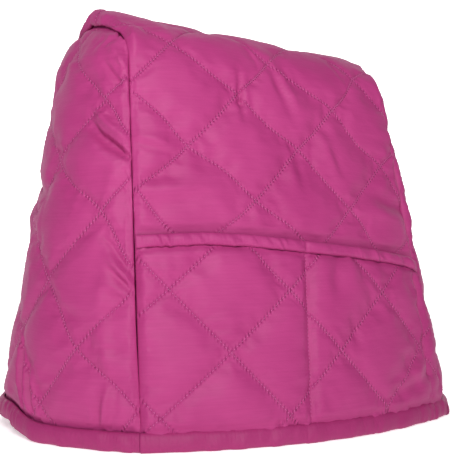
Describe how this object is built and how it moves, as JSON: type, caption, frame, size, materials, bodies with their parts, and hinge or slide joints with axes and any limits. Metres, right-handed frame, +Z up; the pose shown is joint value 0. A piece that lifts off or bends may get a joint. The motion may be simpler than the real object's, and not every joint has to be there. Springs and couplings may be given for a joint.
{
  "type": "stand mixer cover",
  "caption": "Quilted fitted cover for a stand mixer: tall arched front, lower back, a side pocket sewn in two and a padded hem binding; hollow and open below.",
  "frame": {"origin": "on the floor, in the middle of the hem's outline", "axes": "+X runs from the tall front end to the low back end, +Y from the side with the pocket to the plain side, +Z up"},
  "size_m": [0.5128, 0.3788, 0.4349],
  "materials": {
    "quilted_satin": "quilted satin-faced polyester with a soft sheen",
    "binding_satin": "folded satin binding, a shade darker"
  },
  "bodies": {
    "root": {"body_panel": "quilted_satin", "front_panel": "quilted_satin", "back_panel": "quilted_satin", "pocket_panel": "quilted_satin", "pocket_binding": "binding_satin", "hem_binding_near": "binding_satin", "hem_binding_front": "binding_satin", "hem_binding_far": "binding_satin", "hem_binding_back": "binding_satin"}
  },
  "joints": []
}
